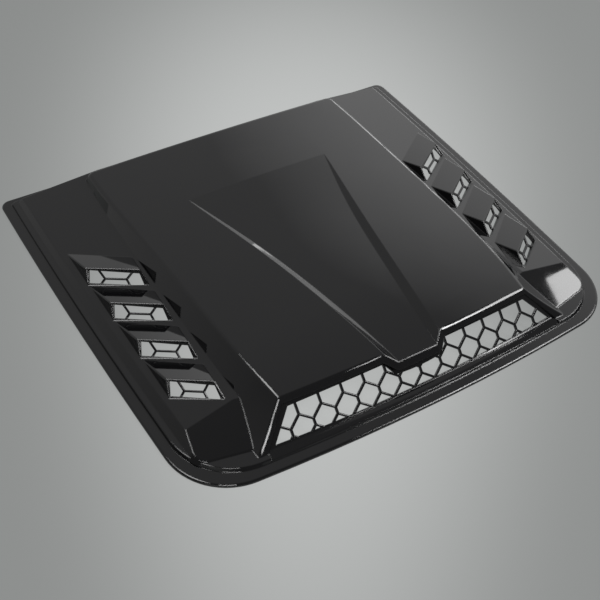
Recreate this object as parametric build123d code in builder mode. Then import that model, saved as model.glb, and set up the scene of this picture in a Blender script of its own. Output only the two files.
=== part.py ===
"""Car bonnet vent: one black moulding with a bonding flange, a scoop, a mesh mouth and louvres.

Millimetres. Origin at the centre of the underside of the flange, +Z up, +Y to the windscreen.
Every hollow form is made twice by the same function: once as the outer skin and once, drawn in
by the wall, as the hollow under it.
"""

import os
from math import atan2, degrees, radians, sqrt, tan

from build123d import *

# Plate: a thin flange all round, and a step up to the part inside it
LENGTH = 586.0
HALF_WIDTH = 323.4
WIDEST_AT = 248.0
SIDE_RADIUS = 9160.0
FRONT_RADIUS = 3100.0
CORNER_RADIUS = 81.0
REAR_CORNER_RADIUS = 13.0
FLANGE_THICK = 3.5
FLANGE_EDGE_RADIUS = 2.8
STEP_RISE = 4.3
STEP_FOOT = dict(side=12.8, front=14.0, rear=10.5, corner=82.0)
STEP_TOP = dict(side=14.6, front=16.4, rear=12.4, corner=80.0)
STEP_RADIUS = 0.9
POCKET = dict(side=18.0, front=19.6, rear=15.6, corner=77.0)

WALL = 3.0

# The body on the plate is drawn from its own zero, which is this far back and up
BODY_BACK = 2.0

# Louvred wings
WING_SIDE_INSET = 21.9
WING_REAR = 273.0
WING_FRONT_OUTER = (284.0, -239.0)
WING_FRONT_INNER = (221.0, -253.0)
WING_CORNER_RADIUS = 20.0
BAND_RISE = 17.0
BAND_RUN = 15.0
ROOF_AT = (220.0, 19.0)
ROOF_FALL_OUT = 0.088
ROOF_FALL_REAR = 0.006
SLOPE_FOOT = 4.4
SLOPE_ANGLE = 14.3

# Scoop sections: place along Y, half-width and height of the top edge, half-width at the bottom
SCOOP_SECTIONS = (
    (274.0, 202.0, 28.6, 213.0),
    (60.0, 197.4, 38.8, 227.0),
    (-90.0, 191.5, 44.2, 228.0),
    (-194.0, 183.4, 43.2, 230.0),
    (-268.0, 171.0, 38.6, 230.0),
)
SCOOP_CROWN = 3.2
SCOOP_EDGE_RADIUS = 7.0
SCOOP_CORNER_RADIUS = 12.0
SCOOP_REAR = 262.5
SCOOP_REAR_LEAN = 10.0
LIP_RADIUS = 5.0

# Channel down the middle: place along Y, half-width and height of its floor, rise of the floor
CHANNEL_SECTIONS = (
    (172.0, 119.0, 36.8, 1.0),
    (130.0, 109.0, 37.4, 0.9),
    (-52.0, 60.5, 40.6, 0.4),
    (-144.0, 43.5, 41.4, 0.2),
    (-207.0, 33.0, 39.4, 0.1),
    (-262.0, 26.5, 36.4, 0.1),
)
CHANNEL_WALL_RUN = 1.76

# Mouth: a bowed surface that leans back at 45 degrees, given by its foot at height 0
MOUTH_FRONT = -279.2
MOUTH_CURVE = 0.00031
MOUTH_BOW_HALF = 190.0
MOUTH_LEG_FRONT = -268.4
MESH_FRONT = -273.8
MESH_CURVE = 0.00021
BEAK_FRONT = -285.0
BEAK_HALF = 28.3
BEAK_ROOT_HALF = 43.0
MESH_THICK = 3.2
SILL_RISE = 0.21
RECESS_FOOT_HALF = 211.0
RECESS_TOP = (178.0, 36.0)
RECESS_STEP = ((46.0, 37.6), (32.0, 30.0))

# Honeycomb mesh of the mouth
OPENING_FOOT = (201.0, 5.9)
OPENING_TOP = (172.5, 31.7)
OPENING_TOP_MIDDLE = (108.0, 33.0)
OPENING_DIP = ((44.6, 33.6), (33.6, 21.9))
OPENING_ASIDE = 0.7
CELL_PITCH = 29.65
CELL_RISE = 11.8
CELL_POST = 7.7
MESH_BAR = 3.0
ZIGZAG_LOW = 19.1
ZIGZAG_DROP = 5.8

# Louvres: corners of the first one on the right, and the step from each to the next
LOUVRE_COUNT = 4
OUTER_HEEL = (284.5, 127.0, 14.0)
OUTER_TOP = (279.2, 83.5, 28.0)
OUTER_FOOT = (284.0, 69.0, 13.2)
INNER_HEEL = (216.0, 85.0, 18.5)
INNER_TOP = (220.3, 45.0, 30.0)
INNER_FOOT = (218.0, 21.5, 18.9)
OUTER_STEP = (-2.6, -72.0, 0.6)
INNER_STEP = (1.5, -69.6, 0.4)
WINDOW_RIM = 1.7
WINDOW_DEPTH = 3.0
PANEL_THICK = 2.6
WINDOW_BAR = 2.7
HOOD_RADIUS = 1.4
WING_EDGE_RADIUS = 2.5


def side_half_width(y, inset):
    """Half-width of the plan at a place along Y."""
    return HALF_WIDTH - inset - (y - WIDEST_AT) ** 2 / (2 * SIDE_RADIUS)


def front_edge(x, inset):
    """Place along Y of the bowed front edge."""
    return -LENGTH / 2 + inset + x**2 / (2 * FRONT_RADIUS)


def plan_loop(side=0.0, front=0.0, rear=0.0, corner=CORNER_RADIUS):
    """The flange's plan, each side drawn in by its own amount."""
    rear_y = LENGTH / 2 - rear
    front_y = -LENGTH / 2 + front
    for _ in range(6):
        corner_x = side_half_width(front_y, side)
        front_y = front_edge(corner_x, front)
    rear_x = side_half_width(rear_y, side)
    mid_x = side_half_width(0, side)
    rear_radius = REAR_CORNER_RADIUS - min(rear, 8)
    with BuildSketch() as loop:
        with BuildLine():
            ThreePointArc((rear_x, rear_y), (mid_x, 0), (corner_x, front_y))
            ThreePointArc((corner_x, front_y), (0, front_edge(0, front)), (-corner_x, front_y))
            ThreePointArc((-corner_x, front_y), (-mid_x, 0), (-rear_x, rear_y))
            Line((-rear_x, rear_y), (rear_x, rear_y))
        make_face()
        fillet(loop.vertices().group_by(Axis.Y)[0], radius=corner)
        fillet(loop.vertices().group_by(Axis.Y)[-1], radius=rear_radius)
    return loop.sketch


def step_edge(height, inset):
    """The plan of the stepped-up part of the plate at a height."""
    with BuildSketch(Plane.XY.offset(height)) as loop:
        add(plan_loop(**inset))
    return loop.sketch


def step():
    """The part of the plate inside the flange, with sloping sides and a rounded edge."""
    with BuildPart() as inside:
        add(step_edge(0, STEP_FOOT))
        add(step_edge(FLANGE_THICK, STEP_FOOT))
        loft(ruled=True)
        add(step_edge(FLANGE_THICK, STEP_FOOT))
        add(step_edge(FLANGE_THICK + STEP_RISE, STEP_TOP))
        loft(ruled=True)
        fillet(inside.edges().group_by(Axis.Z)[-1], radius=STEP_RADIUS)
    return inside.part


def plate():
    """The flange that is bonded down and the step inside it, hollow underneath."""
    with BuildPart() as both:
        add(plan_loop())
        extrude(amount=FLANGE_THICK)
        fillet(both.edges().group_by(Axis.Z)[-1], radius=FLANGE_EDGE_RADIUS)
        add(step())
        add(step_edge(-1, POCKET))
        extrude(amount=1 + FLANGE_THICK + STEP_RISE - WALL, mode=Mode.SUBTRACT)
    return both.part


def wing_loop(inset, height):
    """The plan of the raised wings at a height."""
    front_y = WING_FRONT_OUTER[1] + inset
    rear_y = WING_REAR - inset / 4
    side = WING_SIDE_INSET + inset
    front_x = side_half_width(front_y, side)
    rear_x = side_half_width(rear_y, side)
    mid_x = side_half_width(0, side)
    middle = (WING_FRONT_INNER[0], WING_FRONT_INNER[1] + inset)
    with BuildSketch(Plane.XY.offset(height)) as loop:
        with BuildLine():
            ThreePointArc((rear_x, rear_y), (mid_x, 0), (front_x, front_y))
            Line((front_x, front_y), middle)
            Line(middle, (-middle[0], middle[1]))
            Line((-middle[0], middle[1]), (-front_x, front_y))
            ThreePointArc((-front_x, front_y), (-mid_x, 0), (-rear_x, rear_y))
            Line((-rear_x, rear_y), (rear_x, rear_y))
        make_face()
        corners = loop.vertices().sort_by(lambda corner: abs(corner.Y - front_y))[:2]
        fillet(corners, radius=WING_CORNER_RADIUS - inset)
    return loop.sketch


def band_inset(height):
    """How far the steep band has drawn in at a height, from its foot on the flange."""
    return (height - FLANGE_THICK) * BAND_RUN / BAND_RISE


def cut_above(origin, normal):
    """Cuts off all of the open part that is above a plane."""
    with Locations(Plane(origin=origin, z_dir=normal)):
        Box(1600, 1600, 90, align=(Align.CENTER, Align.CENTER, Align.MIN), mode=Mode.SUBTRACT)


def wings(wall):
    """Both wings as one low block with a steep band round it and a slope at the front."""
    bottom = -1.0 if wall else 0.0
    top = FLANGE_THICK + BAND_RISE
    with BuildPart() as block:
        add(wing_loop(wall * 1.3 + band_inset(bottom), bottom))
        add(wing_loop(wall * 1.3 + band_inset(top), top))
        loft(ruled=True)
        for side in (1, -1):
            roof_at = Vector(side * ROOF_AT[0], 0, ROOF_AT[1] - wall)
            cut_above(roof_at, Vector(side * ROOF_FALL_OUT, ROOF_FALL_REAR, 1))
            foot_inner = Vector(side * WING_FRONT_INNER[0], WING_FRONT_INNER[1], 0)
            foot_outer = Vector(side * WING_FRONT_OUTER[0], WING_FRONT_OUTER[1], 0)
            along = (foot_outer - foot_inner).normalized()
            ahead = along.cross(Vector(0, 0, side))
            slope_at = foot_inner + Vector(0, 0, SLOPE_FOOT - wall)
            cut_above(slope_at, Vector(0, 0, 1) + ahead * tan(radians(SLOPE_ANGLE)))
        if not wall:
            band_top = block.edges().filter_by(
                lambda edge: abs(edge.center().X) > 280
                and edge.center().Z > 11
                and edge.center().Y > -215
            )
            fillet(band_top, radius=WING_EDGE_RADIUS)
    return block.part


def scoop_section(place, half_top, height, half_foot, wall):
    """One section across the scoop."""
    slope = (half_foot - half_top) / height
    top = half_top - wall * (sqrt(1 + slope**2) - slope)
    foot = half_foot - wall * sqrt(1 + slope**2)
    bottom = -1.0 if wall else 0.0
    with BuildSketch(Plane.XZ.offset(-place)) as section:
        with BuildLine():
            Line((-top, height - wall), (-foot, bottom))
            Line((-foot, bottom), (foot, bottom))
            Line((foot, bottom), (top, height - wall))
            ThreePointArc(
                (top, height - wall), (0, height - wall + SCOOP_CROWN), (-top, height - wall)
            )
        make_face()
    return section.sketch


def channel(wall):
    """What is cut out of the scoop's top: a channel that narrows and deepens to the beak."""
    wall_out = wall * (sqrt(1 + CHANNEL_WALL_RUN**2) - CHANNEL_WALL_RUN)
    rise = 22.0
    with BuildPart() as space:
        for place, half_floor, height, crown in CHANNEL_SECTIONS:
            half = half_floor + wall_out
            floor = height - wall
            with BuildSketch(Plane.XZ.offset(-place)):
                with BuildLine():
                    ThreePointArc((-half, floor), (0, floor + crown), (half, floor))
                    Line((half, floor), (half + rise * CHANNEL_WALL_RUN, floor + rise))
                    Line(
                        (half + rise * CHANNEL_WALL_RUN, floor + rise),
                        (-half - rise * CHANNEL_WALL_RUN, floor + rise),
                    )
                    Line((-half - rise * CHANNEL_WALL_RUN, floor + rise), (-half, floor))
                make_face()
        loft()
    return space.part


def mouth_line(x):
    """Place along Y, at height 0, of the bowed rim of the mouth."""
    return MOUTH_FRONT + MOUTH_CURVE * x**2


def mesh_line(x, setback=0.0):
    """Place along Y, at height 0, of the bowed mesh."""
    return MESH_FRONT + setback + MESH_CURVE * x**2


def leaning_space(front_lines, low=10.0, reach=110.0, rise=1.0):
    """All that lies in front of a line in plan, carried back and up at a slope."""
    with BuildPart() as space:
        with BuildSketch(Plane.XY.offset(-low)):
            with BuildLine():
                add(front_lines)
            make_face()
        extrude(amount=reach, dir=(0, 1, rise))
    return space.part


def before_rim():
    """All that lies in front of the mouth's rim, round the beak."""
    low = 10.0
    wide = 300.0
    leg = (MOUTH_BOW_HALF, mouth_line(MOUTH_BOW_HALF) - low)
    middle = (MOUTH_BOW_HALF / 2, mouth_line(MOUTH_BOW_HALF / 2) - low)
    root = (BEAK_ROOT_HALF, mouth_line(BEAK_ROOT_HALF) - low)
    tip = (BEAK_HALF, BEAK_FRONT - low)
    with BuildLine() as half:
        Line((0, tip[1]), tip)
        Line(tip, root)
        ThreePointArc(root, middle, leg)
        Line(leg, (wide, MOUTH_LEG_FRONT - low))
        Line((wide, MOUTH_LEG_FRONT - low), (wide, -480))
        Line((wide, -480), (0, -480))
        mirror(about=Plane.YZ)
    return leaning_space(half.line)


def before_bow(line, low, reach, rise):
    """All that lies in front of a bowed surface, from its line at height 0 and its slope."""
    wide = 300.0
    side_y = line(wide) - low / rise
    with BuildLine() as outline:
        ThreePointArc((-wide, side_y), (0, line(0) - low / rise), (wide, side_y))
        Polyline((wide, side_y), (wide, -480), (-wide, -480), (-wide, side_y))
    return leaning_space(outline.line, low, reach, rise)


def before_mesh(setback):
    """All that lies in front of a surface of the mesh."""
    return before_bow(lambda x: mesh_line(x, setback), 10.0, 110.0, 1.0)


def above_sill():
    """All that lies above the sill, which rises a little from the mouth's rim to the mesh."""
    rise = SILL_RISE
    return before_bow(
        lambda x: mouth_line(x) + FLANGE_THICK - FLANGE_THICK / rise, 10.0, 330.0, rise
    )


def behind_scoop(wall):
    """All that lies behind the scoop's rear wall, which leans forward a little."""
    with BuildPart() as space:
        with Locations(
            Plane(
                origin=(0, SCOOP_REAR - wall, 19),
                z_dir=Vector(0, 1, tan(radians(SCOOP_REAR_LEAN))),
            )
        ):
            Box(900, 900, 100, align=(Align.CENTER, Align.CENTER, Align.MIN))
    return space.part


def scoop(wall, front):
    """The scoop, whole as its outer skin or drawn in by the wall as its hollow."""
    dent = channel(wall)
    rear = behind_scoop(wall)
    with BuildPart() as body:
        for section in SCOOP_SECTIONS:
            add(scoop_section(*section, wall))
        loft()
        add(rear, mode=Mode.SUBTRACT)
        posts = body.edges().filter_by(
            lambda edge: edge.center().Y > 200
            and abs(edge.center().X) > 190
            and edge.bounding_box().size.Z > 15
        )
        fillet(posts, radius=SCOOP_CORNER_RADIUS - wall)
        top = body.edges().filter_by(
            lambda edge: edge.center().Z > 22 and edge.center().Y > -200
        )
        fillet(top, radius=SCOOP_EDGE_RADIUS - wall)
        add(dent, mode=Mode.SUBTRACT)
        add(front, mode=Mode.SUBTRACT)
        if not wall:
            lip = body.edges().filter_by(
                lambda edge: edge.center().Y < -225
                and edge.center().Z > 42
                and edge.length > 60
            )
            fillet(lip, radius=LIP_RADIUS)
    return body.part


def mouth_recess(mesh_front):
    """The recess inside the mouth's rim, down to the front of the mesh."""
    step_out, step_in = RECESS_STEP
    with BuildPart() as space:
        with BuildSketch(Plane.XZ.offset(180)):
            with BuildLine():
                Polyline(
                    (0, 0),
                    (RECESS_FOOT_HALF + 4, 0),
                    RECESS_TOP,
                    step_out,
                    step_in,
                    (0, step_in[1]),
                )
                mirror(about=Plane.YZ)
            make_face()
        extrude(amount=140)
        add(mesh_front, mode=Mode.INTERSECT)
        add(above_sill(), mode=Mode.INTERSECT)
    return space.part


def mesh_height(x, base):
    """Height up the mesh of a row of its corners."""
    return base - ZIGZAG_DROP * (x / OPENING_FOOT[0]) ** 2


def mouth_holes():
    """The open cells of the mesh, as prisms through it at a right angle to the lean."""
    foot_y = mesh_line(0)
    leaning = Plane(
        origin=(0, foot_y + OPENING_FOOT[1], OPENING_FOOT[1]),
        x_dir=(1, 0, 0),
        z_dir=(0, -1, 1),
    )

    def on_mesh(x, height):
        back = mesh_line(x) - foot_y
        return (x, (back + 2 * (height - OPENING_FOOT[1])) / sqrt(2))

    with BuildPart() as space:
        with BuildSketch(leaning):
            with BuildLine():
                ThreePointArc(
                    on_mesh(-OPENING_FOOT[0], OPENING_FOOT[1]),
                    on_mesh(0, OPENING_FOOT[1]),
                    on_mesh(*OPENING_FOOT),
                )
                for side in (1, -1):
                    foot, top, middle, dip_out, dip_in = (
                        on_mesh(side * x, height)
                        for x, height in (
                            OPENING_FOOT,
                            OPENING_TOP,
                            OPENING_TOP_MIDDLE,
                            *OPENING_DIP,
                        )
                    )
                    Line(foot, top)
                    ThreePointArc(top, middle, dip_out)
                    Line(dip_out, dip_in)
                ThreePointArc(
                    on_mesh(*OPENING_DIP[1]),
                    on_mesh(0, OPENING_DIP[1][1] - 1.4),
                    on_mesh(-OPENING_DIP[1][0], OPENING_DIP[1][1]),
                )
            make_face()
            for column in range(-7, 8):
                x = column * CELL_PITCH
                low = mesh_height(x, ZIGZAG_LOW)
                mesh_bar((x, low), (x, low - CELL_POST))
                for side in (-1, 1):
                    next_x = x + side * CELL_PITCH / 2
                    high = mesh_height(next_x, ZIGZAG_LOW + CELL_RISE)
                    mesh_bar((x, low), (next_x, high))
                    mesh_bar((next_x, high), (next_x, high + 20))
                    foot = mesh_height(next_x, ZIGZAG_LOW - CELL_POST - CELL_RISE)
                    mesh_bar((x, low - CELL_POST), (next_x, foot))
        extrude(amount=12, both=True)
    return space.part


def mesh_bar(start, end):
    """Leaves a bar of the mesh uncut in the open sketch of its holes."""
    run = Vector(*end) - Vector(*start)
    middle = (Vector(*end) + Vector(*start)) / 2
    with Locations((middle.X, middle.Y)):
        Rectangle(
            run.length + MESH_BAR * 0.6,
            MESH_BAR,
            rotation=degrees(atan2(run.Y, run.X)),
            mode=Mode.SUBTRACT,
        )


def stepped(corner, step, index, side):
    """A corner of the louvre at an index, on one side of the vent."""
    x, y, z = (at + move * index for at, move in zip(corner, step))
    return Vector(side * x, y, z)


def louvre_corners(index, side):
    """The six corners of one louvre."""
    outer = [stepped(at, OUTER_STEP, index, side) for at in (OUTER_HEEL, OUTER_TOP, OUTER_FOOT)]
    inner = [stepped(at, INNER_STEP, index, side) for at in (INNER_HEEL, INNER_TOP, INNER_FOOT)]
    return outer + inner


def window_plane(index, side):
    """The plane of a louvre's window: x towards the scoop, y up, z out of the hood."""
    _, outer_top, outer_foot, _, inner_top, inner_foot = louvre_corners(index, side)
    middle = (outer_top + outer_foot + inner_top + inner_foot) / 4
    along = (inner_foot - outer_foot + inner_top - outer_top) * side * -1
    up = (outer_top - outer_foot + inner_top - inner_foot)
    return Plane(origin=middle, x_dir=along, z_dir=along.cross(up))


def louvre(index, side, wall, window_wall):
    """One hood, cut from a block by its four faces, each moved in by its wall."""
    outer_heel, outer_top, outer_foot, inner_heel, inner_top, inner_foot = louvre_corners(
        index, side
    )
    middle = (outer_heel + outer_foot + inner_heel + inner_foot) / 4
    window = window_plane(index, side)
    top_edge = (outer_top + inner_top) / 2
    top_across = inner_top - outer_top + inner_heel - outer_heel
    top_along = outer_top - outer_heel + inner_top - inner_heel
    faces = (
        (top_edge, top_across.cross(top_along), wall),
        (window.origin, window.z_dir, window_wall),
        (outer_heel, (outer_top - outer_heel).cross(outer_foot - outer_heel), wall),
        (inner_heel, (inner_top - inner_heel).cross(inner_foot - inner_heel), wall),
    )
    bottom = 6.0
    with BuildPart() as hood:
        with Locations((middle.X, middle.Y, bottom)):
            Box(90, 150, 40, align=(Align.CENTER, Align.CENTER, Align.MIN))
        for point, normal, inset in faces:
            out = normal.normalized()
            if out.dot(point - Vector(middle.X, middle.Y, bottom)) < 0:
                out = out * -1
            cut_above(point - out * inset, out)
        if not wall:
            fillet(
                hood.edges().filter_by(lambda edge: edge.center().Z > bottom + 1),
                radius=HOOD_RADIUS,
            )
    return hood.part


def louvre_window(index, side):
    """The recess of a louvre's window and the four holes in the panel behind it."""
    plane = window_plane(index, side)
    _, outer_top, outer_foot, _, inner_top, inner_foot = louvre_corners(index, side)
    corners = [plane.to_local_coords(at) for at in (outer_foot, inner_foot, inner_top, outer_top)]

    def across(right, up):
        low = corners[0] * (1 - right) + corners[1] * right
        high = corners[3] * (1 - right) + corners[2] * right
        at = low * (1 - up) + high * up
        return (at.X, at.Y)

    knots = (across(0.297, 0.38), across(0.657, 0.387))
    arms = (
        (knots[0], knots[1]),
        (knots[0], across(0.205, 1.0)),
        (knots[0], across(0.20, 0.0)),
        (knots[1], across(0.885, 1.0)),
        (knots[1], across(0.668, 0.0)),
    )
    with BuildPart() as space:
        with BuildSketch(plane):
            with BuildLine():
                Polyline(*[(at.X, at.Y) for at in corners], close=True)
            make_face()
            offset(amount=-WINDOW_RIM)
        extrude(amount=WINDOW_DEPTH, both=True)
        with BuildSketch(plane):
            with BuildLine():
                Polyline(
                    across(0.03, 0.07),
                    across(0.90, 0.035),
                    across(0.93, 0.76),
                    across(0.055, 0.87),
                    close=True,
                )
            make_face()
            for start, end in arms:
                window_bar(start, end)
        extrude(amount=-WINDOW_DEPTH - PANEL_THICK - 2)
    return space.part


def window_bar(start, end):
    """Leaves a bar of a window's panel uncut in the open sketch of its holes."""
    run = Vector(*end) - Vector(*start)
    middle = (Vector(*end) + Vector(*start)) / 2
    with Locations((middle.X, middle.Y)):
        Rectangle(
            run.length + WINDOW_BAR * 0.6,
            WINDOW_BAR,
            rotation=degrees(atan2(run.Y, run.X)),
            mode=Mode.SUBTRACT,
        )


os.makedirs("parts", exist_ok=True)

base = plate()
wings_out = wings(0.0)
wings_in = wings(WALL)
rim_cut = before_rim()
mesh_front = before_mesh(0.0)
mesh_back = before_mesh(MESH_THICK)
scoop_out = scoop(0.0, rim_cut)
scoop_in = scoop(WALL, mesh_back)
recess = mouth_recess(mesh_front)
holes = mouth_holes()
places = [(index, side) for side in (1, -1) for index in range(LOUVRE_COUNT)]
hoods_out = [louvre(*place, 0.0, 0.0) for place in places]
hoods_in = [louvre(*place, WALL - 0.4, WINDOW_DEPTH + PANEL_THICK) for place in places]
windows = [louvre_window(*place) for place in places]

with BuildPart() as bonnet_vent:
    add(base)
    with Locations((0, BODY_BACK, STEP_RISE)):
        add(wings_out)
        add(scoop_out)
        for hood in hoods_out:
            add(hood)
        add(wings_in, mode=Mode.SUBTRACT)
        add(scoop_in, mode=Mode.SUBTRACT)
        for hood in hoods_in:
            add(hood, mode=Mode.SUBTRACT)
        for window in windows:
            add(window, mode=Mode.SUBTRACT)
        add(recess, mode=Mode.SUBTRACT)
    with Locations((OPENING_ASIDE, BODY_BACK, STEP_RISE)):
        add(holes, mode=Mode.SUBTRACT)

print("solids", len(bonnet_vent.part.solids()), bonnet_vent.part.bounding_box())
bonnet_vent.part.label = "bonnet_vent"
export_step(bonnet_vent.part, "parts/bonnet_vent.step")
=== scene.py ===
# %% Frame and tools
"""A car bonnet vent in gloss black plastic, lying on a pale grey studio floor."""

import math

import bpy
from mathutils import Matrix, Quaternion, Vector

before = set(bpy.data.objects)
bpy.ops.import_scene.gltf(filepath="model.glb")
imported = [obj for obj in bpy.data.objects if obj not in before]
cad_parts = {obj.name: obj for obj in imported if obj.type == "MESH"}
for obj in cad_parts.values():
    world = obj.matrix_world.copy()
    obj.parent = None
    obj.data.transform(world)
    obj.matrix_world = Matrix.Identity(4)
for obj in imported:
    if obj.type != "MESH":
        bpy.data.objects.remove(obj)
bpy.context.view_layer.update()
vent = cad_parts["bonnet_vent"]

# %% [markdown]
# Colours are written as the sRGB values a picture editor shows, and the renderer works in
# linear light, so one function does the change. A second one adds a node with its settings
# and links, which keeps each material short enough to read.


# %% Colour and node helpers
def linear(hex_colour):
    """The linear RGBA colour of an sRGB hex value such as 1a1a1b."""
    parts = [int(hex_colour[i : i + 2], 16) / 255 for i in (0, 2, 4)]
    low = [p / 12.92 if p <= 0.04045 else ((p + 0.055) / 1.055) ** 2.4 for p in parts]
    return (*low, 1.0)


def add_node(tree, kind, links=None, **settings):
    """Adds a node, sets its properties and sockets, and links its inputs by name or place."""
    node = tree.nodes.new(kind)
    for name, value in settings.items():
        if hasattr(node, name):
            setattr(node, name, value)
        else:
            node.inputs[name.replace("_", " ")].default_value = value
    for name, source in (links or {}).items():
        tree.links.new(source, node.inputs[name])
    return node


def new_material(name):
    """An empty node material and its output node."""
    material = bpy.data.materials.new(name)
    material.use_nodes = True
    material.node_tree.nodes.clear()
    output = material.node_tree.nodes.new("ShaderNodeOutputMaterial")
    return material, material.node_tree, output


print("sRGB 808080 in linear light is", round(linear("808080")[0], 3))

# %% [markdown]
# The photographer stood in front of the vent and to its left, looking down at it at about
# 45 degrees. A long lens keeps the rear edge nearly as wide as the front. The camera is
# given by its place, the point it aims at and a small roll.

# %% Camera
CAMERA_AT = Vector((-0.5439, -0.7964, 0.8914))
CAMERA_AIM = Vector((-0.0641, -0.0861, 0.0200))
CAMERA_ROLL = math.radians(3.57)
# The lens and the width of the sensor are in millimetres, as photographers give them.
CAMERA_LENS = 58.2
SENSOR_WIDTH = 36.0
# Nothing nearer or farther than this many metres is drawn.
NEAREST = 0.05
FARTHEST = 50.0

camera_data = bpy.data.cameras.new("photo_camera")
camera_data.sensor_width = SENSOR_WIDTH
camera_data.lens = CAMERA_LENS
camera_data.clip_start = NEAREST
camera_data.clip_end = FARTHEST
camera = bpy.data.objects.new("photo_camera", camera_data)
camera.location = CAMERA_AT
camera.rotation_mode = "QUATERNION"
upright = (CAMERA_AIM - CAMERA_AT).to_track_quat("-Z", "Y")
camera.rotation_quaternion = upright @ Quaternion((0, 0, 1), CAMERA_ROLL)
bpy.context.scene.collection.objects.link(camera)
bpy.context.scene.camera = camera
print("camera is", round((CAMERA_AIM - CAMERA_AT).length, 3), "m from its aim")

# %% [markdown]
# The moulding is ABS in gloss black: a plastic with carbon black all through it, moulded
# against a polished tool. It has almost no colour of its own, so what the eye sees is the
# room in its clear, smooth skin. A faint waviness from the moulding bends those reflections.
# Patches about 40 mm across are a touch less glossy, where the plastic cooled more slowly,
# so that the skin isn't the same all over. Paint was the other choice, but a painted part
# shows an orange peel that the photo hasn't got. The Bevel node rounds every sharp edge a
# little for the light alone, as the polished tool does, so that each edge draws a thin
# bright line without a change to the mesh.

# %% Gloss black ABS
# Near black, but not zero: under a bright light the plastic still looks a little grey.
ABS_BLACK = linear("080809")
ABS_IOR = 1.54
# Low enough for crisp mirrored shapes, and uneven enough to keep them from looking painted.
GLOSSIEST = 0.025
LEAST_GLOSSY = 0.06
# Sizes in metres: the swells of the skin and their height, the hazier patches, and the
# rounding of an edge.
SWELL_SIZE = 0.09
SWELL_HEIGHT = 0.002
HAZE_SIZE = 0.04
EDGE_RADIUS = 0.002
# The share of the swells' height that bends the light, and the finer layers in each pattern.
SWELL_SHARE = 0.05
SWELL_LAYERS = 1.0
HAZE_LAYERS = 3.0
# The values of the haze pattern between which the skin goes from glossiest to least glossy.
HAZE_LOW = 0.35
HAZE_HIGH = 0.75
# How many looks around it each point takes to find an edge.
EDGE_SAMPLES = 4

abs_black, tree, output = new_material("gloss_black_abs")
place = add_node(tree, "ShaderNodeTexCoord")
edge = add_node(tree, "ShaderNodeBevel", samples=EDGE_SAMPLES, Radius=EDGE_RADIUS)
swell = add_node(
    tree,
    "ShaderNodeTexNoise",
    {"Vector": place.outputs["Object"]},
    Scale=1 / SWELL_SIZE,
    Detail=SWELL_LAYERS,
)
bump = add_node(
    tree,
    "ShaderNodeBump",
    {"Height": swell.outputs["Fac"], "Normal": edge.outputs["Normal"]},
    Strength=SWELL_SHARE,
    Distance=SWELL_HEIGHT,
)
haze = add_node(
    tree,
    "ShaderNodeTexNoise",
    {"Vector": place.outputs["Object"]},
    Scale=1 / HAZE_SIZE,
    Detail=HAZE_LAYERS,
)
gloss = add_node(
    tree,
    "ShaderNodeMapRange",
    {"Value": haze.outputs["Fac"]},
    From_Min=HAZE_LOW,
    From_Max=HAZE_HIGH,
    To_Min=GLOSSIEST,
    To_Max=LEAST_GLOSSY,
)
skin = add_node(
    tree,
    "ShaderNodeBsdfPrincipled",
    {"Normal": bump.outputs["Normal"], "Roughness": gloss.outputs["Result"]},
    Base_Color=ABS_BLACK,
    IOR=ABS_IOR,
)
tree.links.new(skin.outputs["BSDF"], output.inputs["Surface"])
vent.data.materials.clear()
vent.data.materials.append(abs_black)
print("skin roughness from", GLOSSIEST, "to", LEAST_GLOSSY)

# %% [markdown]
# In the studio the vent lies on a sweep of seamless grey paper. The camera looks down and
# never sees where the paper would curve up, so one flat sheet does, wide enough that the
# vent's sides mirror paper too.

# %% Paper floor
PAPER_SIZE = 12.0

mesh = bpy.data.meshes.new("paper_floor")
half = PAPER_SIZE / 2
corners = [(-half, -half, 0), (half, -half, 0), (half, half, 0), (-half, half, 0)]
mesh.from_pydata(corners, [], [(0, 1, 2, 3)])
floor = bpy.data.objects.new("paper_floor", mesh)
bpy.context.scene.collection.objects.link(floor)
print("paper floor is", PAPER_SIZE, "m wide")

# %% [markdown]
# Rolled paper is matt, so it spreads its light evenly and mirrors nothing. A spot above the
# camera would light a band of it that runs away from the photographer and widens with the
# distance, so in the picture the paper is lightest down the middle and fades evenly to both
# sides. That band of spot light is painted into the paper's colour, in place of a lamp that
# would also show in the black gloss. Most of that colour goes straight to the eye and to the
# gloss, and the rest is lit, so that the paper still takes the vent's shadow.

# %% Grey paper with a painted band of spot light
# The lightest tone is the grey paper with the spot's light painted in; the darkest is the paper
# beyond the spot.
PAPER_PAINTED_SPOTLIGHT = linear("bfc1c0")
PAPER_DARK = linear("8b8d8c")
# The way the band runs, in degrees from +Y.
BAND_TURN = -31.5
# The band spreads from a point this many metres before the vent's middle, by this half width
# for each metre of reach from there.
BAND_START = 1.85
BAND_HALF_WIDTH = 0.265
# Its lightest place, in metres behind the vent's middle, and how far it reaches from there.
BAND_MIDDLE = 0.06
BAND_HALF_LENGTH = 1.2
# The share of the paper's colour that is shown as it is, without the lamps.
SHOWN_SHARE = 0.9
# The places of the two colours and of the mixed one among the sockets of a Mix node.
FIRST_COLOUR = 6
SECOND_COLOUR = 7
MIXED_COLOUR = 2

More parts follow.
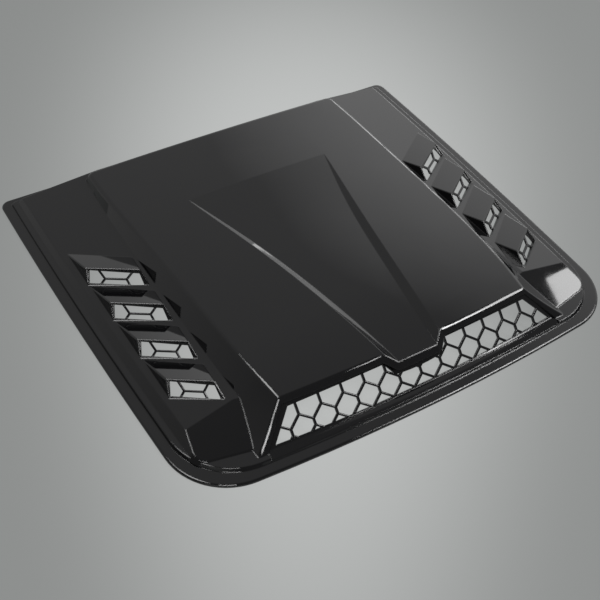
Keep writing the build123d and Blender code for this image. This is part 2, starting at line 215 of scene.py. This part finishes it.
paper, tree, output = new_material("grey_paper_painted_spotlight")
place = add_node(tree, "ShaderNodeTexCoord")
turned = add_node(
    tree,
    "ShaderNodeMapping",
    {"Vector": place.outputs["Object"]},
    vector_type="TEXTURE",
    Rotation=(0.0, 0.0, math.radians(BAND_TURN)),
)
split = add_node(tree, "ShaderNodeSeparateXYZ", {"Vector": turned.outputs["Vector"]})
reach = add_node(tree, "ShaderNodeMath", {0: split.outputs["Y"]}, operation="ADD")
reach.inputs[1].default_value = BAND_START
aside = add_node(
    tree,
    "ShaderNodeMath",
    {0: split.outputs["X"], 1: reach.outputs["Value"]},
    operation="DIVIDE",
)
fan = add_node(
    tree, "ShaderNodeCombineXYZ", {"X": aside.outputs["Value"], "Y": split.outputs["Y"]}
)
band = add_node(
    tree,
    "ShaderNodeMapping",
    {"Vector": fan.outputs["Vector"]},
    vector_type="TEXTURE",
    Location=(0.0, BAND_MIDDLE, 0.0),
    Scale=(BAND_HALF_WIDTH, BAND_HALF_LENGTH, 1.0),
)
fade = add_node(
    tree,
    "ShaderNodeTexGradient",
    {"Vector": band.outputs["Vector"]},
    gradient_type="SPHERICAL",
)
smooth = add_node(
    tree,
    "ShaderNodeMapRange",
    {"Value": fade.outputs["Fac"]},
    interpolation_type="SMOOTHERSTEP",
)
# Painted spot light: the colour goes from the outer grey to the painted lit grey across the band.
colour = add_node(
    tree, "ShaderNodeMix", {"Factor": smooth.outputs["Result"]}, data_type="RGBA"
)
colour.inputs[FIRST_COLOUR].default_value = PAPER_DARK
colour.inputs[SECOND_COLOUR].default_value = PAPER_PAINTED_SPOTLIGHT
mixed = colour.outputs[MIXED_COLOUR]
lit = add_node(tree, "ShaderNodeBsdfDiffuse", {"Color": mixed})
shown = add_node(tree, "ShaderNodeEmission", {"Color": mixed}, Strength=1.0)
ray = add_node(tree, "ShaderNodeLightPath")
seen = add_node(
    tree,
    "ShaderNodeMath",
    {0: ray.outputs["Is Camera Ray"], 1: ray.outputs["Is Glossy Ray"]},
    operation="MAXIMUM",
)
share = add_node(tree, "ShaderNodeMath", {0: seen.outputs["Value"]}, operation="MULTIPLY")
share.inputs[1].default_value = SHOWN_SHARE
both = add_node(
    tree,
    "ShaderNodeMixShader",
    {0: share.outputs["Value"], 1: lit.outputs["BSDF"], 2: shown.outputs["Emission"]},
)
tree.links.new(both.outputs["Shader"], output.inputs["Surface"])
floor.data.materials.append(paper)
print("band of light is", 2 * BAND_HALF_LENGTH, "m long")

# %% [markdown]
# Black gloss shows the room and nothing else, so the room is where its greys come from. This
# one is dim, with a large pale wall behind the vent, and a brighter glow on it to the right
# that fades out. The wall and the glow give the soft change from dark to grey across the
# scoop. The camera sees paper of the floor's own outer tone beyond the floor instead.

# %% Room
ROOM_LEVEL = 0.14
ROOM_COLOUR = linear("ffffff")
# The wall and the glow: the azimuth and elevation of the middle of each, and how many
# degrees off it each one ends and is at its full level.
WALL_AT = (85, 10)
WALL_END = 80
WALL_FULL = 45
WALL_LEVEL = 0.44
GLOW_AT = (30, 10)
GLOW_END = 39
GLOW_FULL = 27
GLOW_LEVEL = 0.8

world = bpy.data.worlds.new("studio")
bpy.context.scene.world = world
world.use_nodes = True
tree = world.node_tree
tree.nodes.clear()
output = add_node(tree, "ShaderNodeOutputWorld")
place = add_node(tree, "ShaderNodeTexCoord")


def direction(azimuth, elevation):
    """The unit vector at an azimuth, measured from +X towards +Y, and an elevation."""
    around = math.radians(azimuth)
    up = math.radians(elevation)
    flat = math.cos(up)
    return Vector((flat * math.cos(around), flat * math.sin(around), math.sin(up)))


def glow_towards(middle, end, full, low, high):
    """A brightness that rises from low at one angle off a direction to high at a nearer one."""
    facing = add_node(
        tree,
        "ShaderNodeVectorMath",
        {"Vector": place.outputs["Generated"]},
        operation="DOT_PRODUCT",
    )
    facing.inputs[1].default_value = middle
    return add_node(
        tree,
        "ShaderNodeMapRange",
        {"Value": facing.outputs["Value"]},
        From_Min=math.cos(math.radians(end)),
        From_Max=math.cos(math.radians(full)),
        To_Min=low,
        To_Max=high,
    )


wall = glow_towards(direction(*WALL_AT), WALL_END, WALL_FULL, ROOM_LEVEL, WALL_LEVEL)
glow = glow_towards(direction(*GLOW_AT), GLOW_END, GLOW_FULL, 0.0, GLOW_LEVEL)
total = add_node(
    tree,
    "ShaderNodeMath",
    {0: wall.outputs["Result"], 1: glow.outputs["Result"]},
    operation="ADD",
)
room = add_node(
    tree, "ShaderNodeBackground", {"Strength": total.outputs["Value"]}, Color=ROOM_COLOUR
)
beyond = add_node(tree, "ShaderNodeBackground", Color=PAPER_DARK, Strength=1.0)
ray = add_node(tree, "ShaderNodeLightPath")
both = add_node(
    tree,
    "ShaderNodeMixShader",
    {
        0: ray.outputs["Is Camera Ray"],
        1: room.outputs["Background"],
        2: beyond.outputs["Background"],
    },
)
tree.links.new(both.outputs["Shader"], output.inputs["Surface"])
print("room levels", ROOM_LEVEL, WALL_LEVEL, GLOW_LEVEL)

# %% [markdown]
# Softboxes are the cloth-fronted lamps of a photo studio, and give the bright shapes. One
# high at the right stands mirrored in the front slope there as a bright patch. The others
# draw the thin bright lines: on the lip of the mouth, the left edges, the leg of the mouth,
# the step of the flange, the edges that face away and those that face the photographer.
# Each stands where the camera sees it in the rounding of its edge and in no flat face,
# because a flat face would show the whole lamp.


# %% Softboxes
def softbox(name, at, size, level, towards=(0, 0, 0)):
    """A rectangular softbox that faces a point. Its level is how bright it looks, 1 for white."""
    data = bpy.data.lights.new(name, "AREA")
    data.shape = "RECTANGLE"
    data.size, data.size_y = size
    data.energy = level * math.pi * size[0] * size[1]
    lamp = bpy.data.objects.new(name, data)
    lamp.location = at
    lamp.rotation_mode = "QUATERNION"
    lamp.rotation_quaternion = (Vector(towards) - Vector(at)).to_track_quat("-Z", "Y")
    bpy.context.scene.collection.objects.link(lamp)
    return lamp


# Each one is given by azimuth, elevation, distance, width and height, and level.
SOFTBOXES = {
    "lip_softbox": (-28, 43, 2.0, (0.9, 0.5), 12.0),
    "left_softbox": (150, 69, 2.4, (1.2, 0.7), 8.0),
    "leg_softbox": (236, 50, 2.2, (0.6, 0.4), 14.0),
    "step_softbox": (-46, 46, 2.1, (0.6, 0.8), 15.0),
    "low_softbox": (35, 12, 2.4, (1.2, 0.3), 3.0),
    "front_softbox": (230, 20, 2.6, (1.6, 0.6), 1.2),
}
for name, (azimuth, elevation, away, size, level) in SOFTBOXES.items():
    softbox(name, direction(azimuth, elevation) * away, size, level)

# The one at the right faces the front slope, which it has to light as a clean square patch.
RIGHT_AT = (1.805, -0.292, 1.309)
RIGHT_TOWARDS = (0.25, -0.22, 0.01)
RIGHT_SIZE = (0.57, 0.575)
RIGHT_LEVEL = 9.2
softbox("right_softbox", RIGHT_AT, RIGHT_SIZE, RIGHT_LEVEL, RIGHT_TOWARDS)
print(len(bpy.data.lights), "softboxes")

# %% [markdown]
# The picture shows each colour as it was written, without the softer contrast of film.

# %% Finish
bpy.context.scene.view_settings.view_transform = "Standard"
